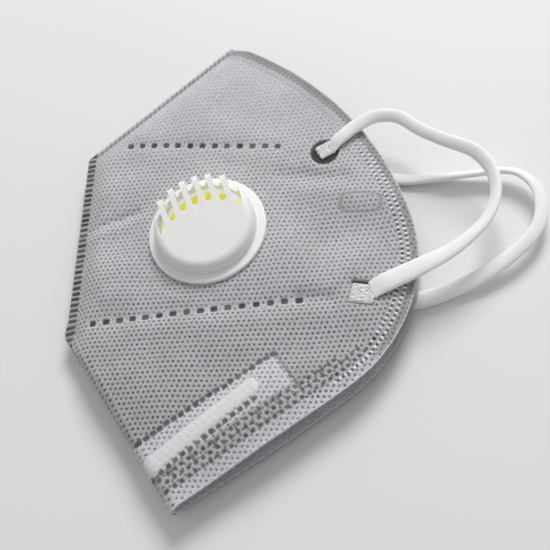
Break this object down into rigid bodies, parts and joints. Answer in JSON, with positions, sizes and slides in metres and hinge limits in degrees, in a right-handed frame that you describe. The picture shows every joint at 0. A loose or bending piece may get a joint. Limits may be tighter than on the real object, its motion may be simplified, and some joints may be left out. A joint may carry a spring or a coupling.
{
  "type": "fold-flat dust mask with valve",
  "caption": "Flat-folded vertical dust mask: grey layered fabric halves joined at a front seam, round white exhalation valve, nose strip and white ear loops.",
  "frame": {"origin": "point where the exhalation valve's axis crosses the fold plane between the two halves", "axes": "+X from the front seam towards the open ear side, +Y from the nose end to the chin end, +Z out of the wearer's right half, which carries the valve"},
  "size_m": [0.1464, 0.1596, 0.0174],
  "materials": {
    "cover": "matt embossed spunbond",
    "cotton": "soft hot-air cotton",
    "filter": "smooth melt-blown web",
    "lining": "soft spunbond",
    "weld": "pressed and welded layers",
    "clip": "satin covered strip",
    "band": "fine knitted elastic",
    "valve": "satin moulded",
    "diaphragm": "smooth silicone"
  },
  "bodies": {
    "left_centre": {"left_centre_inner_lining": "lining", "left_centre_filter_layer": "filter", "left_centre_cotton_layer": "cotton", "left_centre_outer_cover": "cover", "front_seam_weld": "weld", "left_ear_loop_ends": "band"},
    "right_centre": {"right_centre_inner_lining": "lining", "right_centre_filter_layer": "filter", "right_centre_cotton_layer": "cotton", "right_centre_outer_cover": "cover", "right_ear_loop_ends": "band", "valve_seat": "valve", "valve_retaining_ring": "valve", "valve_cap": "valve"},
    "right_nose": {"right_nose_inner_lining": "lining", "right_nose_filter_layer": "filter", "right_nose_cotton_layer": "cotton", "right_nose_outer_cover": "cover", "right_nose_clip_arm": "clip"},
    "left_nose": {"left_nose_inner_lining": "lining", "left_nose_filter_layer": "filter", "left_nose_cotton_layer": "cotton", "left_nose_outer_cover": "cover", "left_nose_clip_arm": "clip"},
    "right_chin": {"right_chin_inner_lining": "lining", "right_chin_filter_layer": "filter", "right_chin_cotton_layer": "cotton", "right_chin_outer_cover": "cover"},
    "left_chin": {"left_chin_inner_lining": "lining", "left_chin_filter_layer": "filter", "left_chin_cotton_layer": "cotton", "left_chin_outer_cover": "cover", "chin_seam_weld": "weld"},
    "right_ear_loop": {"right_ear_loop": "band"},
    "left_ear_loop": {"left_ear_loop": "band"},
    "diaphragm": {"valve_diaphragm": "diaphragm"}
  },
  "joints": [
    {"name": "front_fold", "type": "hinge", "parent": "left_centre", "child": "right_centre", "pos_m": [-0.0407, 0, 0], "axis": [0, -1, 0], "range_deg": [0, 50]},
    {"name": "right_nose_fold", "type": "hinge", "parent": "right_centre", "child": "right_nose", "pos_m": [-0.0407, -0.03606, 0], "axis": [0.9986, 0.0523, 0], "range_deg": [0, 20]},
    {"name": "left_nose_fold", "type": "hinge", "parent": "left_centre", "child": "left_nose", "pos_m": [-0.0407, -0.03606, 0], "axis": [-0.9986, -0.0523, 0], "range_deg": [0, 20]},
    {"name": "right_chin_fold", "type": "hinge", "parent": "right_centre", "child": "right_chin", "pos_m": [-0.0407, 0.03376, 0], "axis": [-0.999, 0.0454, 0], "range_deg": [0, 33]},
    {"name": "left_chin_fold", "type": "hinge", "parent": "left_centre", "child": "left_chin", "pos_m": [-0.0407, 0.03376, 0], "axis": [0.999, -0.0454, 0], "range_deg": [0, 33]},
    {"name": "right_loop_swing", "type": "hinge", "parent": "right_centre", "child": "right_ear_loop", "pos_m": [0.04974, -0.02512, 0.0048], "axis": [0.1846, -0.9828, 0], "range_deg": [0, 150]},
    {"name": "left_loop_swing", "type": "hinge", "parent": "left_centre", "child": "left_ear_loop", "pos_m": [0.04974, -0.02512, -0.0048], "axis": [0.1846, -0.9828, 0], "range_deg": [-150, 0]},
    {"name": "diaphragm_flap", "type": "hinge", "parent": "right_centre", "child": "diaphragm", "pos_m": [0.00374, -0.01056, 0.00517], "axis": [0.9426, 0.3338, 0], "range_deg": [0, 9]}
  ],
  "couplings": [
    {"joint": "right_nose_fold", "follows": "front_fold", "ratio": 0.3605},
    {"joint": "left_nose_fold", "follows": "front_fold", "ratio": 0.3605},
    {"joint": "right_chin_fold", "follows": "front_fold", "ratio": 0.6235},
    {"joint": "left_chin_fold", "follows": "front_fold", "ratio": 0.6235}
  ]
}
